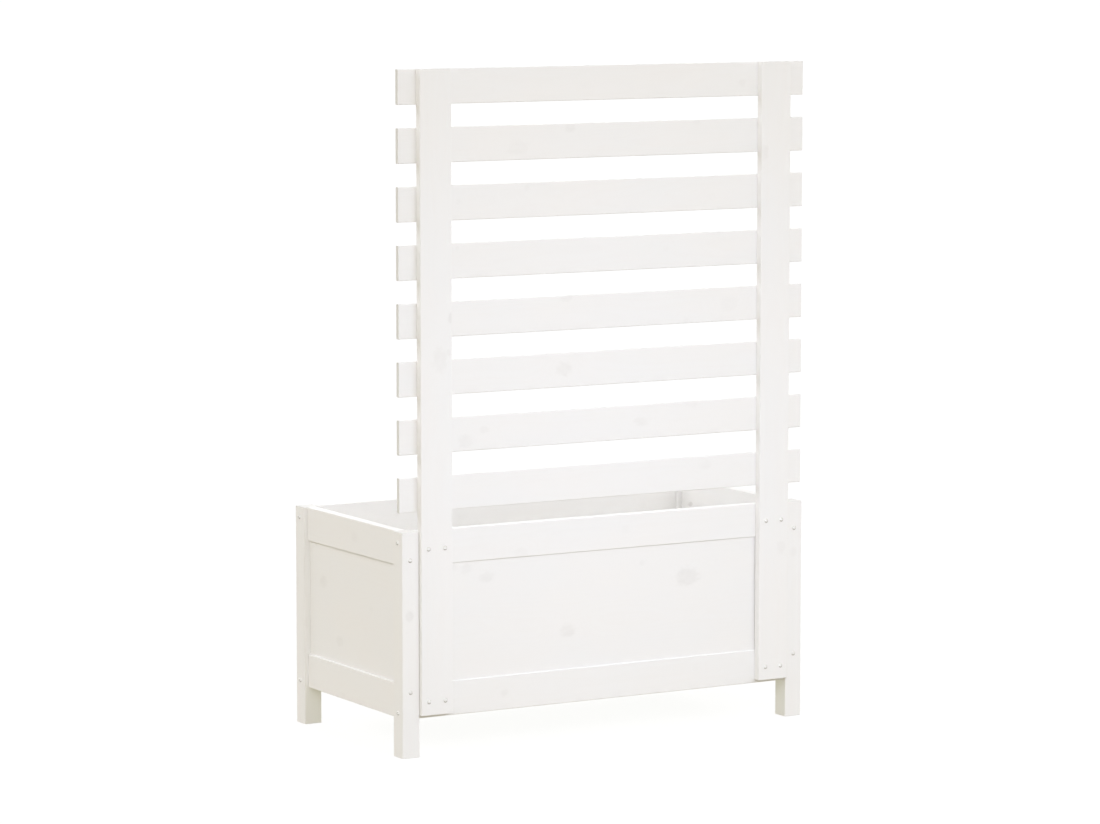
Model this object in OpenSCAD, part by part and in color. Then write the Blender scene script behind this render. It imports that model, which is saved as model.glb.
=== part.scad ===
// Raised box planter of painted softwood on four legs, with a slatted trellis on its rear wall.
// The front is at -Y and the trellis at +Y. +X is to the right of someone who faces the front.
// The origin is on the ground, under the middle of the whole planter.

/* [Box] */
// Length over the outer faces of the legs
box_l = 788; // [650:1:1200]
// Depth over the outer faces of the legs
box_d = 388; // [320:1:600]
// Height of the legs, and of the rim
box_h = 378; // [330:1:600]
// Open height under the walls
foot_h = 64; // [40:1:100]
// Side of the square legs
leg_w = 32; // [30:1:45]
// Radius of the eased long edges of every board and leg
edge_r = 1.5; // [0.5:0.5:2.5]

/* [Walls] */
// Height of each rail
rail_h = 58; // [50:1:80]
// Thickness of each rail
rail_t = 17; // [15:1:22]
// How far the walls stand back from the outer faces of the legs
wall_inset = 7; // [3:0.5:8]
// How far the front and rear panels stand back from the outer faces of their rails
long_panel_inset = 2; // [1.5:0.5:5]
// How far the panels of the end walls stand back from the outer faces of their rails
end_panel_inset = 4; // [2:0.5:5]
// Thickness of each panel
panel_t = 8; // [6:0.5:9]
// Depth of the groove that takes a panel's edge
groove_d = 8; // [5:0.5:12]
// Play between a panel and the groove round its edge
panel_play = 0.4; // [0.2:0.1:0.8]

/* [Floor] */
// Number of floor boards
floor_n = 11; // [9:1:12]
// Thickness of each floor board
floor_t = 10; // [8:1:14]
// Drainage gap between one floor board and the next
floor_gap = 8; // [5:0.5:12]
// Height of the two bearers under the floor boards
bearer_h = 20; // [17:1:30]
// Thickness of the bearers
bearer_t = 18; // [15:1:25]
// Height of the bearers over the underside of the bottom rails
bearer_rise = 4; // [0:1:10]
// Play at the ends of the bearers and round the floor boards
floor_play = 0.8; // [0.4:0.1:2]

/* [Trellis] */
// Number of slats
slat_n = 8; // [4:1:10]
// Height of each slat
slat_h = 58; // [40:1:80]
// Thickness of each slat
slat_t = 8; // [7:1:14]
// Gap between one slat and the next
slat_gap = 38; // [20:1:60]
// Gap between the rim and the lowest slat
rim_gap = 32; // [20:1:60]
// How far the slats reach past the legs at each end
slat_over = 1; // [0:0.5:5]
// Width of the two uprights
upright_w = 59; // [45:1:80]
// Thickness of the uprights
upright_t = 14; // [13:1:20]
// Gap between an upright and the legs beside it
upright_gap = 0.5; // [0.5:0.5:20]
// Height of the lower end of the uprights over the underside of the bottom rail
upright_rise = 6; // [0:1:15]

/* [Screws] */
// Diameter of the shanks
screw_d = 4; // [3:0.5:4.5]
// Diameter of the heads
head_d = 8; // [7:0.5:9]
// Height of the domed heads
head_h = 2.4; // [2:0.1:3]
// Depth of the flat heads of the floor's screws below the face of the boards
head_sink = 0.2; // [0.1:0.1:1]
// Play between a screw and its hole, all round
hole_play = 0.2; // [0.1:0.1:0.4]
// Distance of a screw from the side edge of its upright
screw_side = 14; // [10:1:18]
// Distance of the front and rear walls' upper screws below the rim
screw_drop = 18; // [12:1:20]
// Height of the front and rear walls' lower screws over the underside of the bottom rails
screw_rise = 11; // [8:1:18]
// Wood left between a panel's groove and the screws of the end walls
screw_wood = 3.5; // [3:0.5:8]
// How far the corner screws run into the ends of the rails
corner_bite = 28; // [20:1:36]
// How far the screws of the uprights run into the rails
upright_bite = 13; // [8:1:13]
// How far the screws of the slats run into the uprights
slat_bite = 11; // [6:1:11]
// How far the screws of the bearers run into the bottom rails
bearer_bite = 12; // [8:1:13]
// How far the screws of the floor boards run into the bearers
floor_bite = 14; // [8:1:15]

/* [Hidden] */
$fn = 48;
SIDES = ["front", "rear", "left", "right"];

// Offset of the box from the origin, because the uprights stand proud of the rear legs
box_y = -(upright_t - wall_inset) / 2;
// Height of the middle of the upper and lower rails
top_rail_z = box_h - rail_h / 2;
bottom_rail_z = foot_h + rail_h / 2;
// Panels stand on the bottom of the lower groove and stop short of the end of the upper one
panel_z0 = foot_h + rail_h - groove_d;
panel_z1 = box_h - rail_h + groove_d - panel_play;
// Floor: the bearers lie against the bottom rails, and the boards lie across the bearers
bearer_z = foot_h + bearer_rise + bearer_h / 2;
bearer_y = box_d / 2 - wall_inset - rail_t - bearer_t / 2;
floor_z = bearer_z + bearer_h / 2;
floor_l = box_d - 2 * (wall_inset + rail_t + floor_play);
floor_row = box_l - 2 * (leg_w + floor_play);
floor_w = (floor_row - (floor_n - 1) * floor_gap) / floor_n;
floor_pitch = floor_w + floor_gap;
// Trellis: slat 1 is the highest, and the uprights end flush with its upper edge
slat_pitch = slat_h + slat_gap;
trellis_top = box_h + rim_gap + slat_n * slat_pitch - slat_gap;
upright_x = box_l / 2 - leg_w - upright_gap - upright_w / 2;
upright_z0 = foot_h + upright_rise;
// Screws: their points, the spare depth of their holes and the cross slot in their heads
tip_h = 4;
tip_d = 0.6;
hole_end = 0.5;
slot_l = 4.6;
slot_w = 1;
slot_d = 1.1;
// Height of a flat head, whose cone has an angle of 90 degrees
sunk_h = (head_d - screw_d) / 2;
// How far a cutting shape runs past the face that it opens
cut = 1;

paint = [0.95, 0.945, 0.93];
panel_paint = [0.94, 0.93, 0.91];
steel = [0.78, 0.78, 0.77];

function is_long(side) = side == "front" || side == "rear";
function wall_angle(side) = side == "rear" ? 0 : side == "left" ? 90 : side == "front" ? 180 : -90;
function wall_reach(side) = (is_long(side) ? box_d : box_l) / 2 - wall_inset;
function rail_l(side) = (is_long(side) ? box_l : box_d) - 2 * leg_w;
function rail_z(top) = top ? top_rail_z : bottom_rail_z;
function panel_inset(side) = is_long(side) ? long_panel_inset : end_panel_inset;
function long_screw_z(top) = top ? box_h - screw_drop : foot_h + screw_rise;
function short_screw_z(top) =
    top ? box_h - rail_h + groove_d + screw_wood : foot_h + rail_h - groove_d - screw_wood;
function corner_screw_z(side, top) = is_long(side) ? long_screw_z(top) : short_screw_z(top);
function slat_z(n) = trellis_top - slat_h / 2 - (n - 1) * slat_pitch;
function floor_x(n) = (n - (floor_n + 1) / 2) * floor_pitch;

// Rectangle with eased corners, centred
module section(w, h) {
    square([w - 2 * edge_r, h], center = true);
    square([w, h - 2 * edge_r], center = true);
    for (i = [-1, 1], j = [-1, 1])
        translate([i * (w / 2 - edge_r), j * (h / 2 - edge_r)])
            circle(edge_r);
}

// Board with eased long edges that runs along X, centred
module board_x(l, d, h) {
    rotate([90, 0, 90])
        linear_extrude(l, center = true)
            section(d, h);
}

// Board with eased long edges that runs along Y, centred
module board_y(l, w, h) {
    rotate([90, 0, 0])
        linear_extrude(l, center = true)
            section(w, h);
}

// Board with eased long edges that stands on its lower end
module board_z(l, w, d) {
    linear_extrude(l)
        section(w, d);
}

// Frame of one wall: its own X runs along the wall, Y = 0 is the outer face of the rails, +Y is outwards
module on_wall(side) {
    translate([0, box_y, 0])
        rotate([0, 0, wall_angle(side)])
            translate([0, wall_reach(side), 0])
                children();
}

// Cross slot cut into a head whose top is at height z
module cross_slot(z) {
    for (a = [45, 135])
        rotate([0, 0, a])
            translate([-slot_l / 2, -slot_w / 2, z - cut])
                cube([slot_l, slot_w, slot_d + cut]);
}

// Shank and point of a screw that runs along +Z to the depth l, from the height z
module shank(l, z) {
    translate([0, 0, z])
        cylinder(h = l - tip_h - z, d = screw_d);
    translate([0, 0, l - tip_h])
        cylinder(h = tip_h, d1 = screw_d, d2 = tip_d);
}

// Screw with a domed head. It runs along +Z from the face at Z = 0 that its head rests on
module screw(l) {
    dome_r = (head_d * head_d / 4 + head_h * head_h) / (2 * head_h);
    difference() {
        intersection() {
            translate([0, 0, dome_r - head_h])
                sphere(dome_r);
            translate([0, 0, -head_h])
                cylinder(h = head_h, d = head_d + cut);
        }
        cross_slot(-head_h);
    }
    shank(l, 0);
}

// Screw with a flat head, sunk just below the face at Z = 0. It runs along +Z
module sunk_screw(l) {
    difference() {
        translate([0, 0, head_sink])
            cylinder(h = sunk_h, d1 = head_d, d2 = screw_d);
        cross_slot(head_sink);
    }
    shank(l, head_sink + sunk_h);
}

// Pilot hole for a screw of the same length
module pilot(l) {
    translate([0, 0, -cut])
        cylinder(h = l + hole_end + cut, d = screw_d + 2 * hole_play);
}

// Pilot hole that is countersunk for a flat head
module sunk_pilot(l) {
    pilot(l);
    translate([0, 0, head_sink])
        cylinder(h = sunk_h, d1 = head_d + 2 * hole_play, d2 = screw_d + 2 * hole_play);
    translate([0, 0, -cut])
        cylinder(h = head_sink + cut, d = head_d + 2 * hole_play);
}

// Places of the screws that run through two legs into the ends of one wall's rails
module corner_places(side) {
    on_wall(side)
        for (i = [-1, 1], top = [true, false])
            translate([i * (rail_l(side) / 2 + leg_w), -rail_t / 2, corner_screw_z(side, top)])
                rotate([0, -90 * i, 0])
                    children();
}

// Places of the screws that run through one upright into the rear rails
module upright_places(s) {
    on_wall("rear")
        for (i = [-1, 1], top = [true, false])
            translate([s * upright_x + i * (upright_w / 2 - screw_side), upright_t, rail_z(top)])
                rotate([90, 0, 0])
                    children();
}

// Places of the screws that run from the front through slat n into the uprights
module slat_places(n) {
    on_wall("rear")
        for (s = [-1, 1], i = [-1, 1])
            translate([s * upright_x + i * (upright_w / 2 - screw_side), -slat_t, slat_z(n)])
                rotate([-90, 0, 0])
                    children();
}

// Places of the screws that run through one bearer into its rail, each under a gap of the floor
module bearer_places(side) {
    on_wall(side)
        for (n = [1:3:floor_n - 1])
            translate([floor_x(n) + floor_pitch / 2, -rail_t - bearer_t, bearer_z])
                rotate([-90, 0, 0])
                    children();
}

// Places of the screws that run down through floor board n into the bearers
module floor_places(n) {
    for (s = [-1, 1])
        translate([floor_x(n), box_y + s * bearer_y, floor_z + floor_t])
            rotate([180, 0, 0])
                children();
}

// Leg at the left (-1) or right (1) and at the front (-1) or rear (1)
module leg(sx, sy) {
    color(paint)
        difference() {
            translate([sx * (box_l - leg_w) / 2, box_y + sy * (box_d - leg_w) / 2, 0])
                board_z(box_h, leg_w, leg_w);
            corner_places(sx < 0 ? "left" : "right")
                pilot(leg_w + corner_bite);
            corner_places(sy < 0 ? "front" : "rear")
                pilot(leg_w + corner_bite);
        }
}

// Rail between two legs, with a groove for the panel in the edge that faces it
module rail(side, top) {
    groove_w = panel_t + panel_play;
    groove_y = -panel_inset(side) + panel_play / 2 - groove_w;
    groove_z = top ? box_h - rail_h - cut : foot_h + rail_h - groove_d;
    color(paint)
        difference() {
            on_wall(side)
                difference() {
                    translate([0, -rail_t / 2, rail_z(top)])
                        board_x(rail_l(side), rail_t, rail_h);
                    translate([-rail_l(side) / 2 - cut, groove_y, groove_z])
                        cube([rail_l(side) + 2 * cut, groove_w, groove_d + cut]);
                }
            corner_places(side)
                pilot(leg_w + corner_bite);
            if (side == "rear")
                for (s = [-1, 1])
                    upright_places(s)
                        pilot(upright_t + upright_bite);
            if (is_long(side) && !top)
                bearer_places(side)
                    pilot(bearer_t + bearer_bite);
        }
}

// Panel held in the grooves of the rails above and below it
module panel(side) {
    color(panel_paint)
        on_wall(side)
            translate([-rail_l(side) / 2, -panel_inset(side) - panel_t, panel_z0])
                cube([rail_l(side), panel_t, panel_z1 - panel_z0]);
}

// Bearer against the inner face of a bottom rail
module bearer(side) {
    color(paint)
        difference() {
            on_wall(side)
                translate([0, -rail_t - bearer_t / 2, bearer_z])
                    board_x(rail_l(side) - 2 * floor_play, bearer_t, bearer_h);
            bearer_places(side)
                pilot(bearer_t + bearer_bite);
            for (n = [1:floor_n])
                floor_places(n)
                    pilot(floor_t + floor_bite);
        }
}

// Floor board n, counted from the left
module floor_board(n) {
    color(paint)
        difference() {
            translate([floor_x(n), box_y, floor_z + floor_t / 2])
                board_y(floor_l, floor_w, floor_t);
            floor_places(n)
                sunk_pilot(floor_t + floor_bite);
        }
}

// Upright at the left (-1) or right (1), flat against the rear rails and behind the slats
module upright(s) {
    color(paint)
        difference() {
            on_wall("rear")
                translate([s * upright_x, upright_t / 2, upright_z0])
                    board_z(trellis_top - upright_z0, upright_w, upright_t);
            upright_places(s)
                pilot(upright_t + upright_bite);
            for (n = [1:slat_n])
                slat_places(n)
                    pilot(slat_t + slat_bite);
        }
}

// Slat n, counted from the top
module slat(n) {
    color(paint)
        difference() {
            on_wall("rear")
                translate([0, -slat_t / 2, slat_z(n)])
                    board_x(box_l + 2 * slat_over, slat_t, slat_h);
            slat_places(n)
                pilot(slat_t + slat_bite);
        }
}

module corner_screws(side) {
    color(steel)
        corner_places(side)
            screw(leg_w + corner_bite);
}

module upright_screws() {
    color(steel)
        for (s = [-1, 1])
            upright_places(s)
                screw(upright_t + upright_bite);
}

module slat_screws() {
    color(steel)
        for (n = [1:slat_n])
            slat_places(n)
                screw(slat_t + slat_bite);
}

module bearer_screws() {
    color(steel)
        for (side = ["front", "rear"])
            bearer_places(side)
                screw(bearer_t + bearer_bite);
}

module floor_screws() {
    color(steel)
        for (n = [1:floor_n])
            floor_places(n)
                sunk_screw(floor_t + floor_bite);
}

leg(-1, -1);  // leg_front_left
leg(1, -1);  // leg_front_right
leg(-1, 1);  // leg_rear_left
leg(1, 1);  // leg_rear_right
for (side = SIDES) {
    rail(side, true);
    rail(side, false);
    panel(side);
    corner_screws(side);
}
bearer("front");  // floor_bearer_front
bearer("rear");  // floor_bearer_rear
for (n = [1:floor_n])
    floor_board(n);
upright(-1);  // upright_left
upright(1);  // upright_right
for (n = [1:slat_n])
    slat(n);
upright_screws();
slat_screws();
bearer_screws();
floor_screws();
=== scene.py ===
# Looks of a raised planter box with a slatted trellis on its rear wall, in painted pine and steel screws.
# Metres, +Z up. The front is at -Y and the trellis at +Y. The camera looks from behind, as the photo does.
import math
import random

import bpy
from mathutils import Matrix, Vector


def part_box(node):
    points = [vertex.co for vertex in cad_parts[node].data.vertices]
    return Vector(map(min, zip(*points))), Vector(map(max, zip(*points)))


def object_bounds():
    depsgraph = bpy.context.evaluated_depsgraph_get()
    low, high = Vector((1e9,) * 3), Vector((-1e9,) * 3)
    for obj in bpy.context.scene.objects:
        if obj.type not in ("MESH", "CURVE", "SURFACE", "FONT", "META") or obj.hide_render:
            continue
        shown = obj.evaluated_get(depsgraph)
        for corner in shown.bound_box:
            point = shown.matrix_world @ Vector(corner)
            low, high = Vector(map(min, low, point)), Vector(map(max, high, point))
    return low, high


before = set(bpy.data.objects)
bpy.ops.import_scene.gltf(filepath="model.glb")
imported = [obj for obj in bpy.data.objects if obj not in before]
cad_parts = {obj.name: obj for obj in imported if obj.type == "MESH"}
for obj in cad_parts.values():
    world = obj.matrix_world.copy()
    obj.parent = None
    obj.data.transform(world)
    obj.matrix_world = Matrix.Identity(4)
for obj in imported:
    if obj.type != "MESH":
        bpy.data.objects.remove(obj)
cad_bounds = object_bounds()

# Camera: where it stands, how it is turned in degrees, and its lens, with the focal length in photo pixels
PHOTO_WIDTH = 1100
CAMERA_PLACE = (3.7262, 6.4124, 1.4051)
CAMERA_HEADING = -120.153
CAMERA_DIP = 6.678
FOCAL_PIXELS = 4326.8
SENSOR_WIDTH = 36.0

# Sky: a band of light all round, with its colour and its level in the middle. Its height above the horizon
# and how fast it fades are sines of angles.
SKY_COLOUR = (1.0, 0.99, 1.0)
SKY_BAND_LEVEL = 2.93
SKY_BAND_HEIGHT = 0.50
SKY_BAND_SPREAD = 0.205

# Lamps: a bluish one behind the trellis and a nearly white one before the front
LAMPS = {
    "key": {"place": (0.0, 1.2, 0.5), "aim": (0.0, 0.2, 0.5), "size": (1.0, 0.8), "watts": 3.3,
            "colour": (0.65, 0.74, 1.0)},
    "fill": {"place": (-0.2, -2.4, 0.8), "aim": (0.0, 0.0, 0.35), "size": (1.4, 0.8), "watts": 6.5,
             "colour": (0.96, 1.0, 1.0)},
}

# Floor: its own light to the camera, how much of the shadow shows on it, and the light that it throws back
FLOOR_SIZE = 240.0
FLOOR_GLOW = 0.87
FLOOR_SHADED = 0.16
FLOOR_BOUNCE = (0.440, 0.385, 0.255)
# The brighter light that it throws back under the box, onto the legs' inner faces, and how far in from the
# box's edge that is full
FLOOR_UNDER_BOX = (0.78, 0.81, 0.65)
FLOOR_UNDER_EDGE = 0.1

# Eased sawn ends of the boards: the width of the easing and the number of steps in it
END_EASE = 0.0006
END_STEPS = 3
# An edge is on the outline of a sawn end when it is this close to the end's plane and to a side of the board
END_PLANE = 0.00001
END_OUTLINE = 0.003
# Degrees between faces from which an edge is sharp, and up to which two faces are one plane
SHARP_ANGLE = 30.0
FLAT_ANGLE = 1.0
# Points closer than this are one
WELD_DISTANCE = 0.00001
# Weight that gives the shading of a corner wholly to its largest face
LARGEST_FACE = 100


def srgb(red, green, blue):
    """Linear colour of an sRGB colour given in 0 to 255."""
    def linear(v):
        v /= 255
        return v / 12.92 if v <= 0.04045 else ((v + 0.055) / 1.055) ** 2.4
    return (linear(red), linear(green), linear(blue), 1.0)


PAINT = srgb(250, 249, 247)
PAINT_COOL = srgb(249, 249, 248)
BARE_PINE = srgb(196, 168, 128)
END_GRAIN = srgb(214, 213, 207)
KNOT_STAIN = srgb(172, 167, 160)
STEEL = srgb(240, 238, 234)
STEEL_DULL = srgb(222, 219, 213)
# Painted shade for the lower sides of the screw heads
STEEL_PAINTED_SHADE = srgb(188, 183, 175)

# Knots that the photograph shows, for each board: their place along and across it in millimetres in the row
# frame, their radius, how far they are drawn out along the board, and how strongly they show
KNOTS = {
    "panel_rear": [(-166, 261, 15, 1.5, 0.9), (72, 187, 11, 1.3, 0.8), (-75, 292, 5, 1.0, 0.5),
                   (229, 291, 9, 1.5, 0.6), (268, 308, 9, 1.1, 0.5), (291, 314, 6, 1.0, 0.4)],
    "rail_rear_top": [(165, 327, 9, 1.7, 0.3), (-40, 352, 6, 1.2, 0.2)],
    "rail_rear_bottom": [(196, 92, 6, 1.1, 0.6), (-182, 101, 5, 1.3, 0.2)],
    "slat_1": [(272, 1136, 6, 1.6, 0.3), (-272, 1104, 6, 1.2, 0.4), (40, 1108, 5, 1.3, 0.15)],
    "slat_2": [(70, 1038, 8, 1.4, 0.6), (170, 1005, 13, 1.5, 0.35), (-180, 1040, 5, 1.5, 0.3)],
    "slat_3": [(152, 940, 5, 1.1, 0.5), (282, 921, 5, 1.0, 0.3), (-210, 912, 6, 1.4, 0.15)],
    "slat_4": [(284, 844, 4, 1.0, 0.3), (-120, 828, 5, 1.6, 0.15)],
    "slat_5": [(76, 753, 7, 1.6, 0.5), (-160, 704, 5, 1.3, 0.3), (-246, 727, 12, 1.4, 0.3)],
    "slat_6": [(80, 633, 11, 1.3, 0.7), (-350, 640, 5, 1.3, 0.2)],
    "slat_7": [(235, 539, 6, 1.4, 0.5), (269, 522, 11, 1.2, 0.6), (-72, 535, 8, 1.9, 0.5),
               (-172, 561, 8, 2.0, 0.35)],
    "slat_8": [(-200, 452, 8, 1.5, 0.35), (264, 463, 5, 1.2, 0.2)],
    "upright_right": [(730, 305, 5, 1.6, 1.0), (674, 308, 4, 1.3, 0.6), (661, 325, 14, 1.4, 0.5)],
    "upright_left": [(985, -309, 8, 1.5, 0.5), (300, -347, 8, 1.5, 0.6)],
    "panel_right": [(-115, 255, 10, 1.3, 0.7), (-55, 160, 9, 1.3, 0.6), (60, 232, 6, 1.2, 0.3)],
    "leg_rear_right": [(238, 380, 7, 1.3, 0.9)],
    "rail_left_top": [(-135, 334, 4, 1.8, 3.0)],
}
MILLIMETRES = 1000

# Knots of the other boards: the millimetres of board for each, and the range of each of their values. Their
# places are shares of the board's length and width.
EXTRA_KNOT_SPACING = 330
EXTRA_KNOT_ALONG = (-0.46, 0.46)
EXTRA_KNOT_ACROSS = (-0.42, 0.42)
EXTRA_KNOT_RADIUS = (4, 9)
EXTRA_KNOT_STRETCH = (1.0, 1.7)
EXTRA_KNOT_LEVEL = (0.12, 0.45)

# Form of a knot: how ragged its outline and how uneven its core are, with waves per millimetre along, across
# and through the board. Then, as shares of its radius, where its core fades, where the dark line round it
# lies, and how far it pushes the growth rings.
KNOT_RAGGED = 1.4
KNOT_RAGGED_WAVES = (0.10, 0.16, 0.05)
KNOT_UNEVEN = 1.6
KNOT_UNEVEN_WAVES = (0.07, 0.11, 0.03)
KNOT_UNEVEN_SEED = 4.3
KNOT_FADE = (0.5, 1.2)
KNOT_RIM = 0.92
KNOT_RIM_NARROWNESS = 12.0
KNOT_PUSH = 1.5
KNOT_PUSH_NARROWNESS = 0.16

# Growth rings of a board: the ranges of their width in millimetres, of the pith's place as a share of the
# board's width, of its depth behind the board in millimetres, and of the seed
RING_WIDTH = (2.4, 4.2)
PITH_ACROSS = (-0.35, 0.35)
PITH_DEPTH = (25, 75)
SEED = (0, 50)
# How far the rings wander, slowly and quickly, in millimetres
RING_DRIFT = 26.0
RING_WOBBLE = 2.4
# Shares of a ring over which the dark latewood comes in and ends
LATEWOOD_START = (0.35, 0.90)
LATEWOOD_STOP = (0.93, 1.0)

# Noises on a board: waves per millimetre along, across and through it, what is added to the board's seed,
# detail and roughness
BOARD_NOISES = {
    "drift": ((0.0030, 0.012, 0.012), 0.0, 2.0, 0.5),
    "wobble": ((0.012, 0.07, 0.07), 0.0, 2.0, 0.5),
    "fibre": ((0.022, 0.9, 0.9), 0.0, 3.0, 0.6),
    "stroke": ((0.006, 0.35, 0.35), 3.1, 2.0, 0.5),
    "peel": ((0.8, 0.8, 0.8), 0.0, 1.0, 0.5),
    "cloud": ((0.006, 0.015, 0.015), 7.7, 2.0, 0.5),
    "rub": ((0.02, 0.06, 0.06), 1.3, 3.0, 0.5),
}
CLOUD_RANGE = (-0.25, 0.25)
RUB_RANGE = (-0.08, 0.22)

# Millimetres from an edge over which the wear fades, and from a sawn end over which the end grain does
WORN_REACH = (0.5, 2.4)
SAWN_REACH = (0.1, 0.5)
# How much of the end grain's colour shows on a sawn end, and how much more in the latewood
SAWN_SHARE = 0.45
SAWN_LATEWOOD_SHARE = 0.35

# What each part of the wood adds to how thin the paint is, to a knot's stain, to roughness, and to height in
# millimetres
THIN_EVERYWHERE = 0.006
THINNING = {"latewood": 0.010, "fibre": 0.03, "worn": 0.04}
STAIN = {"core": 0.10, "rim": 0.03}
MOST_STAIN = 0.9
PAINT_ROUGHNESS = 0.52
ROUGHENING = {"stroke": 0.16, "latewood": -0.06, "worn": 0.10, "fibre": 0.08}
RELIEF = {"latewood": 0.012, "fibre": 0.022, "stroke": 0.022, "peel": 0.006, "rim": -0.03, "core": 0.03,
          "sawn_latewood": 0.08, "worn": -0.04}
PAINT_BUMP = 0.8
PAINT_IOR = 1.42

# Zinc on the screws: dull patches and fine scratches, with their waves per millimetre, seed and detail
PATCH_NOISE = ((0.35, 0.35, 0.35), 2.0, 3.0)
PATCH_RANGE = (-0.2, 0.25)
SCRATCH_NOISE = ((0.4, 0.4, 6.0), 5.0, 2.0)
# Painted shade on the heads' lower sides: how far up a face it is full and where it ends, from -1 to 1
PAINTED_SHADE_RANGE = (-0.45, -0.1)
STEEL_ROUGHNESS = 0.34
STEEL_ROUGHENING = {"patch": 0.2, "scratch": 0.1}
STEEL_RELIEF = {"scratch": 0.02, "patch": 0.02}
STEEL_BUMP = 0.6

# Numbers of the sockets for colours on a Mix node
MIX_SHARE, MIX_FIRST, MIX_SECOND, MIX_RESULT = 0, 6, 7, 2


class Graph:
    """Adds nodes to a tree and joins their sockets. An input may be a number, a tuple or a node's output."""

    def __init__(self, tree):
        self.tree = tree

    def node(self, kind, settings=(), inputs=()):
        made = self.tree.nodes.new(kind)
        for name, value in dict(settings).items():
            setattr(made, name, value)
        for name, value in dict(inputs).items():
            socket = made.inputs[name]
            if isinstance(value, bpy.types.NodeSocket):
                self.tree.links.new(value, socket)
            else:
                socket.default_value = value
        return made

    def math(self, operation, *values):
        return self.node("ShaderNodeMath", {"operation": operation}, enumerate(values)).outputs[0]

    def vector_math(self, operation, *values):
        made = self.node("ShaderNodeVectorMath", {"operation": operation}, enumerate(values))
        return made.outputs["Value"] if operation == "LENGTH" else made.outputs["Vector"]

    def chain(self, operation, values):
        """The first value joined with each further one in turn."""
        result, *others = values
        for value in others:
            result = self.math(operation, result, value)
        return result

    def total(self, *values):
        return self.chain("ADD", values)

    def most(self, *values):
        return self.chain("MAXIMUM", values)

    def least(self, *values):
        return self.chain("MINIMUM", values)

    def times(self, a, b):
        return self.math("MULTIPLY", a, b)

    def shared(self, parts, shares):
        """Each part that shares names, times its share."""
        return [self.times(parts[name], share) for name, share in shares.items()]

    def bell(self, value, narrowness):
        """1 where value is 0, and less on both sides."""
        return self.math("EXPONENT", self.times(self.times(value, value), -narrowness))

    def ramp(self, value, low, high, low_result=0.0, high_result=1.0):
        """Smooth step from low_result at low to high_result at high."""
        inputs = {
            "Value": value, "From Min": low, "From Max": high, "To Min": low_result, "To Max": high_result,
        }
        made = self.node("ShaderNodeMapRange", {"interpolation_type": "SMOOTHSTEP"}, inputs)
        return made.outputs["Result"]

    def fall(self, value, low, high):
        """Smooth step from 1 at low to 0 at high."""
        return self.ramp(value, low, high, 1.0, 0.0)

    def split(self, vector):
        made = self.node("ShaderNodeSeparateXYZ", inputs={"Vector": vector})
        return made.outputs["X"], made.outputs["Y"], made.outputs["Z"]

    def join(self, x, y, z):
        return self.node("ShaderNodeCombineXYZ", inputs={"X": x, "Y": y, "Z": z}).outputs["Vector"]

    def noise(self, vector, waves, seed, detail=2.0, roughness=0.5):
        """Noise from -0.5 to 0.5, with its waves per unit along each axis."""
        scaled = self.vector_math("MULTIPLY", vector, waves)
        inputs = {"Vector": scaled, "W": seed, "Scale": 1.0, "Detail": detail, "Roughness": roughness}
        made = self.node("ShaderNodeTexNoise", {"noise_dimensions": "4D"}, inputs)
        return self.math("SUBTRACT", made.outputs["Fac"], 0.5)

    def blend(self, share, first, second):
        inputs = {MIX_SHARE: share, MIX_FIRST: first, MIX_SECOND: second}
        return self.node("ShaderNodeMix", {"data_type": "RGBA"}, inputs).outputs[MIX_RESULT]

    def bump(self, strength, height):
        """Normal of a surface whose height is in millimetres."""
        inputs = {"Strength": strength, "Distance": 1 / MILLIMETRES, "Height": height}
        return self.node("ShaderNodeBump", inputs=inputs).outputs["Normal"]


def shader_group(name, inputs, outputs):
    """New node group with the named inputs and outputs, given with their kinds."""
    tree = bpy.data.node_groups.new(name, "ShaderNodeTree")
    for direction, sockets in (("INPUT", inputs), ("OUTPUT", outputs)):
        for socket, kind in sockets:
            tree.interface.new_socket(socket, in_out=direction, socket_type=kind)
    source = tree.nodes.new("NodeGroupInput").outputs
    target = tree.nodes.new("NodeGroupOutput").inputs
    return tree, source, target


def knot_group():
    """One knot: its core, the dark line round it, and how far it pushes the growth rings, in millimetres."""
    tree, source, target = shader_group(
        "knot",
        [("Place", "NodeSocketVector"), ("Middle", "NodeSocketVector"), ("Radius", "NodeSocketFloat"),
         ("Stretch", "NodeSocketFloat"), ("Level", "NodeSocketFloat")],
        [("Core", "NodeSocketFloat"), ("Rim", "NodeSocketFloat"), ("Push", "NodeSocketFloat")],
    )
    g = Graph(tree)
    place, radius, level = source["Place"], source["Radius"], source["Level"]
    along, across, _ = g.split(g.vector_math("SUBTRACT", place, source["Middle"]))
    flat = g.join(g.math("DIVIDE", along, source["Stretch"]), across, 0.0)
    ragged = g.noise(place, KNOT_RAGGED_WAVES, radius)
    reach = g.math("DIVIDE", g.vector_math("LENGTH", flat), radius)
    reach = g.math("ADD", reach, g.times(ragged, KNOT_RAGGED))
    uneven = g.noise(place, KNOT_UNEVEN_WAVES, g.math("ADD", radius, KNOT_UNEVEN_SEED), 1.0)
    heart = g.times(g.fall(reach, *KNOT_FADE), g.math("MULTIPLY_ADD", uneven, KNOT_UNEVEN, 1.0))
    rim = g.bell(g.math("SUBTRACT", reach, KNOT_RIM), KNOT_RIM_NARROWNESS)
    push = g.bell(reach, KNOT_PUSH_NARROWNESS)
    tree.links.new(g.times(heart, level), target["Core"])
    tree.links.new(g.times(rim, level), target["Rim"])
    tree.links.new(g.times(g.times(push, radius), KNOT_PUSH), target["Push"])
    return tree


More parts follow.
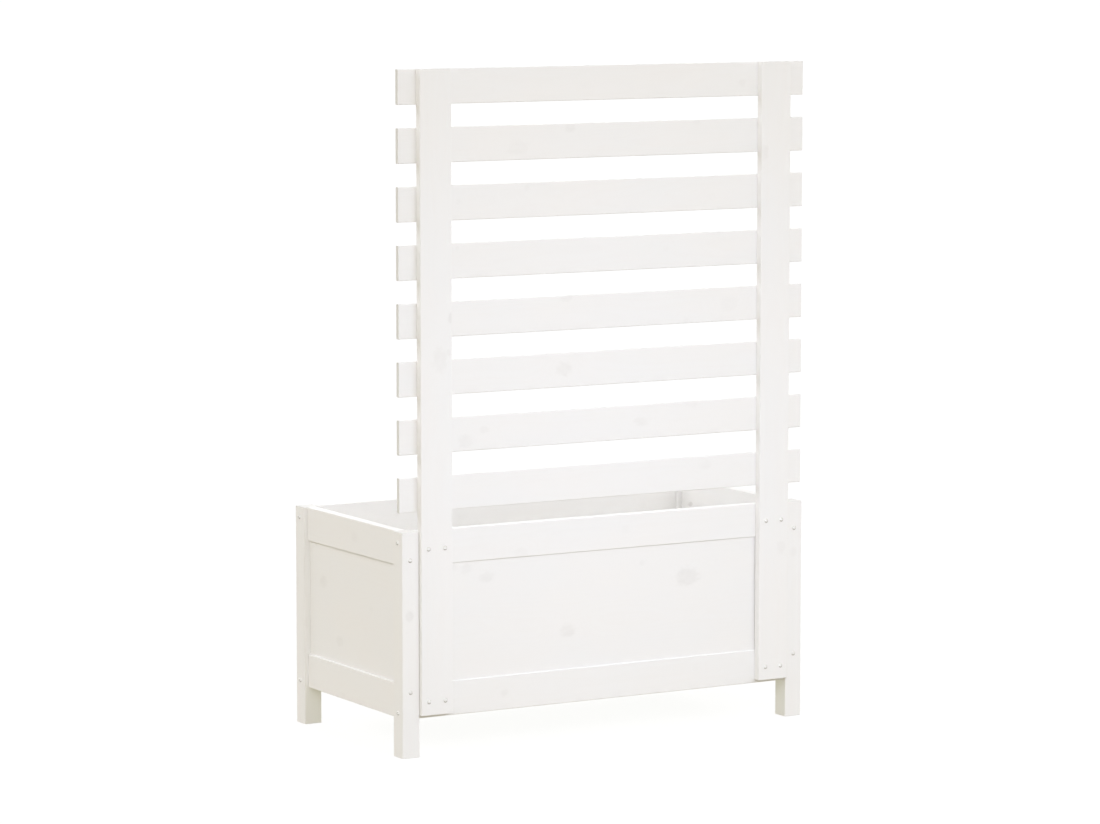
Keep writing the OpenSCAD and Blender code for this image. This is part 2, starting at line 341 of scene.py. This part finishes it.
def pine_group():
    """Planed pine under thin paint. Place is in millimetres along, across and through from the middle."""
    tree, source, target = shader_group(
        "painted_pine",
        [("Place", "NodeSocketVector"), ("Half", "NodeSocketVector"), ("Pith", "NodeSocketVector"),
         ("Ring", "NodeSocketFloat"), ("Seed", "NodeSocketFloat"), ("Core", "NodeSocketFloat"),
         ("Rim", "NodeSocketFloat"), ("Push", "NodeSocketFloat")],
        [("Color", "NodeSocketColor"), ("Roughness", "NodeSocketFloat"), ("Height", "NodeSocketFloat")],
    )
    g = Graph(tree)
    place = source["Place"]
    parts = {
        name: g.noise(place, waves, g.math("ADD", source["Seed"], shift), detail, roughness)
        for name, (waves, shift, detail, roughness) in BOARD_NOISES.items()
    }
    parts.update(core=source["Core"], rim=source["Rim"])
    # Growth rings round a pith that runs along the board, outside it
    _, across, through = g.split(g.vector_math("SUBTRACT", place, source["Pith"]))
    radius = g.vector_math("LENGTH", g.join(0.0, across, through))
    wander = g.shared(parts, {"drift": RING_DRIFT, "wobble": RING_WOBBLE})
    ring = g.math("FRACT", g.math("DIVIDE", g.total(radius, *wander, source["Push"]), source["Ring"]))
    latewood = g.least(g.ramp(ring, *LATEWOOD_START), g.fall(ring, *LATEWOOD_STOP))
    # Edges, where the paint is rubbed thin, and sawn ends
    sizes = g.split(g.vector_math("ABSOLUTE", place))
    halves = g.split(source["Half"])
    near = [g.fall(g.math("SUBTRACT", half, size), *WORN_REACH) for size, half in zip(sizes, halves)]
    pairs = [g.least(near[i], near[j]) for i, j in ((0, 1), (1, 2), (0, 2))]
    worn = g.times(g.most(*pairs), g.ramp(parts["rub"], *RUB_RANGE))
    end = g.fall(g.math("SUBTRACT", halves[0], sizes[0]), *SAWN_REACH)
    parts.update(latewood=latewood, worn=worn, sawn_latewood=g.times(end, latewood))
    # Paint over wood
    thin = g.most(g.total(*g.shared(parts, THINNING), THIN_EVERYWHERE), 0.0)
    paint = g.blend(g.ramp(parts["cloud"], *CLOUD_RANGE), PAINT, PAINT_COOL)
    sawn = g.times(end, g.math("MULTIPLY_ADD", latewood, SAWN_LATEWOOD_SHARE, SAWN_SHARE))
    wood = g.blend(sawn, g.blend(thin, paint, BARE_PINE), END_GRAIN)
    stain = g.least(g.total(*g.shared(parts, STAIN)), MOST_STAIN)
    tree.links.new(g.blend(stain, wood, KNOT_STAIN), target["Color"])
    tree.links.new(g.total(PAINT_ROUGHNESS, *g.shared(parts, ROUGHENING)), target["Roughness"])
    tree.links.new(g.total(*g.shared(parts, RELIEF)), target["Height"])
    return tree


KNOT = knot_group()
PINE = pine_group()


def board_axes(size):
    """Axes of a board as (along, across, through): its longest, middle and shortest sides."""
    return sorted(range(3), key=lambda axis: (-round(size[axis], 4), axis))


def board_knots(name, middle, size, axes, dice):
    """Knots of a board as (place, radius, stretch, level), in millimetres from its middle."""
    along, across, _ = axes
    knots = []
    for place_along, place_across, radius, stretch, level in KNOTS.get(name, []):
        place = (place_along - middle[along], place_across - middle[across], 0.0)
        knots.append((place, radius, stretch, level))
    if not knots:
        for _ in range(max(1, round(size[along] / EXTRA_KNOT_SPACING))):
            place_along = dice.uniform(*EXTRA_KNOT_ALONG) * size[along]
            place_across = dice.uniform(*EXTRA_KNOT_ACROSS) * size[across]
            radius = dice.uniform(*EXTRA_KNOT_RADIUS)
            stretch = dice.uniform(*EXTRA_KNOT_STRETCH)
            level = dice.uniform(*EXTRA_KNOT_LEVEL)
            knots.append(((place_along, place_across, 0.0), radius, stretch, level))
    return knots


def new_material(name):
    """New material with its node tree and its shader."""
    material = bpy.data.materials.new(name)
    material.use_nodes = True
    return material, material.node_tree, material.node_tree.nodes["Principled BSDF"]


def painted_board(name):
    """Painted pine for one board, with rings, knots and wear of its own."""
    dice = random.Random(name)
    low, high = (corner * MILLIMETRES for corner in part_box(name))
    middle = (low + high) / 2
    size = high - low
    axes = board_axes(size)
    material, tree, shader = new_material("painted_pine_" + name)
    g = Graph(tree)
    position = g.node("ShaderNodeTexCoord").outputs["Object"]
    position = g.vector_math("MULTIPLY", position, (MILLIMETRES,) * 3)
    offsets = g.split(g.vector_math("SUBTRACT", position, tuple(middle)))
    place = g.join(*(offsets[axis] for axis in axes))
    sums = {"Core": 0.0, "Rim": 0.0, "Push": 0.0}
    for knot_place, radius, stretch, level in board_knots(name, middle, size, axes, dice):
        inputs = {
            "Place": place, "Middle": knot_place, "Radius": float(radius), "Stretch": float(stretch),
            "Level": level,
        }
        knot = g.node("ShaderNodeGroup", {"node_tree": KNOT}, inputs).outputs
        sums = {key: g.math("ADD", knot[key], value) for key, value in sums.items()}
    half = tuple(size[axis] / 2 for axis in axes)
    pith_across = dice.uniform(*PITH_ACROSS) * size[axes[1]]
    pith_through = -dice.uniform(*PITH_DEPTH) - size[axes[2]]
    inputs = {
        "Place": place, "Half": half, "Pith": (0.0, pith_across, pith_through),
        "Ring": dice.uniform(*RING_WIDTH), "Seed": dice.uniform(*SEED), **sums,
    }
    pine = g.node("ShaderNodeGroup", {"node_tree": PINE}, inputs).outputs
    tree.links.new(pine["Color"], shader.inputs["Base Color"])
    tree.links.new(pine["Roughness"], shader.inputs["Roughness"])
    tree.links.new(g.bump(PAINT_BUMP, pine["Height"]), shader.inputs["Normal"])
    shader.inputs["IOR"].default_value = PAINT_IOR
    return material


def screw_steel():
    """Zinc-plated steel, dulled in patches, with painted shade on the heads' lower sides and fine scratches.
    """
    material, tree, shader = new_material("zinc_plated_steel")
    g = Graph(tree)
    place = g.vector_math("MULTIPLY", g.node("ShaderNodeTexCoord").outputs["Object"], (MILLIMETRES,) * 3)
    parts = {"patch": g.noise(place, *PATCH_NOISE), "scratch": g.noise(place, *SCRATCH_NOISE)}
    _, _, facing_up = g.split(g.node("ShaderNodeNewGeometry").outputs["Normal"])
    colour = g.blend(g.ramp(parts["patch"], *PATCH_RANGE), STEEL, STEEL_DULL)
    # Painted shade: the heads are darker where they face down
    colour = g.blend(g.fall(facing_up, *PAINTED_SHADE_RANGE), colour, STEEL_PAINTED_SHADE)
    tree.links.new(colour, shader.inputs["Base Color"])
    roughness = g.total(STEEL_ROUGHNESS, *g.shared(parts, STEEL_ROUGHENING))
    tree.links.new(roughness, shader.inputs["Roughness"])
    tree.links.new(g.bump(STEEL_BUMP, g.total(*g.shared(parts, STEEL_RELIEF))), shader.inputs["Normal"])
    shader.inputs["Metallic"].default_value = 1.0
    return material


def geometry_group(name):
    """New geometry node group, with its input geometry and its output socket."""
    tree = bpy.data.node_groups.new(name, "GeometryNodeTree")
    tree.interface.new_socket("Geometry", in_out="INPUT", socket_type="NodeSocketGeometry")
    tree.interface.new_socket("Geometry", in_out="OUTPUT", socket_type="NodeSocketGeometry")
    return tree, tree.nodes.new("NodeGroupInput").outputs[0], tree.nodes.new("NodeGroupOutput").inputs[0]


def weld_group():
    """Joins the faces that meet along the sharp edges, and drops the normals that came with the mesh."""
    tree, source, target = geometry_group("weld_faces")
    g = Graph(tree)
    merged = g.node("GeometryNodeMergeByDistance", inputs={"Geometry": source, "Distance": WELD_DISTANCE})
    inputs = {"Geometry": merged.outputs[0], "Name": "custom_normal"}
    bare = g.node("GeometryNodeRemoveAttribute", inputs=inputs)
    tree.links.new(bare.outputs[0], target)
    return tree


def mark_group():
    """Marks the sharp outlines of a board's two sawn ends for the easing, and leaves out the holes there."""
    tree, source, target = geometry_group("mark_ends")
    g = Graph(tree)
    box = g.node("GeometryNodeBoundBox", inputs={"Geometry": source}).outputs
    place = g.node("GeometryNodeInputPosition").outputs[0]
    sizes = g.split(g.vector_math("SUBTRACT", box["Max"], box["Min"]))
    from_low = g.split(g.vector_math("SUBTRACT", place, box["Min"]))
    from_high = g.split(g.vector_math("SUBTRACT", box["Max"], place))
    depths = [g.least(low, high) for low, high in zip(from_low, from_high)]
    length = g.math("SUBTRACT", g.most(*sizes), END_PLANE)
    is_along = [g.math("GREATER_THAN", size, length) for size in sizes]
    axes = list(zip(depths, is_along))
    at_end = g.total(*(g.times(g.math("LESS_THAN", depth, END_PLANE), along) for depth, along in axes))
    # A metre is added to the depth along the board, so that the least depth is the one from a side
    from_side = g.least(*(g.math("ADD", depth, along) for depth, along in axes))
    at_outline = g.times(at_end, g.math("LESS_THAN", from_side, END_OUTLINE))
    angle = g.node("GeometryNodeInputMeshEdgeAngle").outputs["Unsigned Angle"]
    is_sharp = g.math("GREATER_THAN", angle, math.radians(SHARP_ANGLE))
    inputs = {"Geometry": source, "Name": "bevel_weight_edge", "Value": g.times(at_outline, is_sharp)}
    marked = g.node("GeometryNodeStoreNamedAttribute", {"data_type": "FLOAT", "domain": "EDGE"}, inputs)
    tree.links.new(marked.outputs[0], target)
    return tree


def smooth_group():
    """Joins points that easing left in one place, and shades smooth, with edges over SHARP_ANGLE sharp."""
    tree, source, target = geometry_group("smooth_by_angle")
    g = Graph(tree)
    merged = g.node("GeometryNodeMergeByDistance", inputs={"Geometry": source, "Distance": WELD_DISTANCE})
    angle = g.node("GeometryNodeInputMeshEdgeAngle").outputs["Unsigned Angle"]
    inputs = {"A": angle, "B": math.radians(SHARP_ANGLE)}
    is_soft = g.node("FunctionNodeCompare", {"operation": "LESS_THAN"}, inputs)
    faces = g.node("GeometryNodeSetShadeSmooth", {"domain": "FACE"}, {"Geometry": merged.outputs[0]})
    edges = g.node("GeometryNodeSetShadeSmooth", {"domain": "EDGE"}, {"Geometry": faces.outputs[0]})
    tree.links.new(is_soft.outputs["Result"], edges.inputs["Shade Smooth"])
    tree.links.new(edges.outputs[0], target)
    return tree


WELD = weld_group()
MARK = mark_group()
SMOOTH = smooth_group()


def ease_ends(board):
    """Eases the sawn ends of a board a little, with modifiers."""
    weld = board.modifiers.new("weld", "NODES")
    weld.node_group = WELD
    flat = board.modifiers.new("one_face_per_plane", "DECIMATE")
    flat.decimate_type = "DISSOLVE"
    flat.angle_limit = math.radians(FLAT_ANGLE)
    mark = board.modifiers.new("mark_ends", "NODES")
    mark.node_group = MARK
    ease = board.modifiers.new("eased_ends", "BEVEL")
    ease.width = END_EASE
    ease.segments = END_STEPS
    ease.limit_method = "WEIGHT"
    smooth = board.modifiers.new("smooth", "NODES")
    smooth.node_group = SMOOTH
    level = board.modifiers.new("level_shading_on_flat_faces", "WEIGHTED_NORMAL")
    level.keep_sharp = True
    level.weight = LARGEST_FACE


def dress_frame():
    """Gives every board its own painted pine and every screw its steel."""
    steel = screw_steel()
    for name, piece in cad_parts.items():
        if "screws" in name:
            piece.material_slots[0].material = steel
        else:
            piece.material_slots[0].material = painted_board(name)
            ease_ends(piece)


def seen_directly(g):
    """1 for rays from the camera, mirrors and glass, and 0 for the light that falls on things."""
    path = g.node("ShaderNodeLightPath").outputs
    return g.most(path["Is Camera Ray"], path["Is Glossy Ray"], path["Is Transmission Ray"])


def build_floor():
    """Pale floor: white with a faint shadow where it is seen, and a soft light thrown back on the object."""
    half = FLOOR_SIZE / 2
    corners = [(-half, -half, 0), (half, -half, 0), (half, half, 0), (-half, half, 0)]
    mesh = bpy.data.meshes.new("floor")
    mesh.from_pydata(corners, [], [(0, 1, 2, 3)])
    floor = bpy.data.objects.new("floor", mesh)
    bpy.context.scene.collection.objects.link(floor)
    material = bpy.data.materials.new("floor_white")
    material.use_nodes = True
    tree = material.node_tree
    tree.nodes.clear()
    g = Graph(tree)
    offsets = g.split(g.node("ShaderNodeTexCoord").outputs["Object"])
    under_box = g.times(*(
        g.fall(g.math("ABSOLUTE", offset), reach - FLOOR_UNDER_EDGE, reach)
        for offset, reach in zip(offsets, cad_bounds[1][:2])
    ))
    bounce_colour = g.blend(under_box, (*FLOOR_BOUNCE, 1), (*FLOOR_UNDER_BOX, 1))
    bounce = g.node("ShaderNodeEmission", inputs={"Color": bounce_colour, "Strength": 1.0})
    shaded = g.node("ShaderNodeBsdfDiffuse", inputs={"Color": (FLOOR_SHADED, FLOOR_SHADED, FLOOR_SHADED, 1)})
    glow = g.node("ShaderNodeEmission", inputs={"Color": (1, 1, 1, 1), "Strength": FLOOR_GLOW})
    seen = g.node("ShaderNodeAddShader", inputs={0: shaded.outputs[0], 1: glow.outputs[0]})
    inputs = {0: seen_directly(g), 1: bounce.outputs[0], 2: seen.outputs[0]}
    both = g.node("ShaderNodeMixShader", inputs=inputs)
    g.node("ShaderNodeOutputMaterial", inputs={"Surface": both.outputs[0]})
    mesh.materials.append(material)


def build_sky():
    """World that is white where it is seen, and a soft light where it shines on things."""
    world = bpy.data.worlds.new("sky")
    bpy.context.scene.world = world
    world.use_nodes = True
    tree = world.node_tree
    tree.nodes.clear()
    g = Graph(tree)
    _, _, height = g.split(g.node("ShaderNodeTexCoord").outputs["Generated"])
    off_band = g.math("DIVIDE", g.math("SUBTRACT", height, SKY_BAND_HEIGHT), SKY_BAND_SPREAD)
    level = g.times(g.bell(off_band, 1.0), SKY_BAND_LEVEL)
    light = g.node("ShaderNodeBackground", inputs={"Color": (*SKY_COLOUR, 1), "Strength": level})
    white = g.node("ShaderNodeBackground", inputs={"Color": (1, 1, 1, 1), "Strength": 1.0})
    inputs = {0: seen_directly(g), 1: light.outputs[0], 2: white.outputs[0]}
    both = g.node("ShaderNodeMixShader", inputs=inputs)
    g.node("ShaderNodeOutputWorld", inputs={"Surface": both.outputs[0]})


def build_lamp(name, place, aim, size, watts, colour):
    """Soft rectangular lamp that is not seen itself."""
    data = bpy.data.lights.new(name, "AREA")
    data.energy = watts
    data.color = colour
    data.shape = "RECTANGLE"
    data.size, data.size_y = size
    lamp = bpy.data.objects.new(name, data)
    lamp.location = place
    lamp.rotation_euler = (Vector(aim) - Vector(place)).to_track_quat("-Z", "Y").to_euler()
    lamp.visible_camera = False
    bpy.context.scene.collection.objects.link(lamp)


def build_camera():
    """Camera at the photograph's place, with no shift and no depth of field."""
    heading = math.radians(CAMERA_HEADING)
    dip = math.radians(CAMERA_DIP)
    look = Vector((math.cos(heading) * math.cos(dip), math.sin(heading) * math.cos(dip), -math.sin(dip)))
    data = bpy.data.cameras.new("camera")
    data.sensor_width = SENSOR_WIDTH
    data.lens = FOCAL_PIXELS / PHOTO_WIDTH * SENSOR_WIDTH
    data.clip_end = 2 * FLOOR_SIZE
    camera = bpy.data.objects.new("camera", data)
    camera.location = CAMERA_PLACE
    camera.rotation_euler = look.to_track_quat("-Z", "Y").to_euler()
    bpy.context.scene.collection.objects.link(camera)
    bpy.context.scene.camera = camera


dress_frame()
build_floor()
build_sky()
for lamp_name, lamp_values in LAMPS.items():
    build_lamp(lamp_name, **lamp_values)
build_camera()
bpy.context.scene.view_settings.view_transform = "Standard"
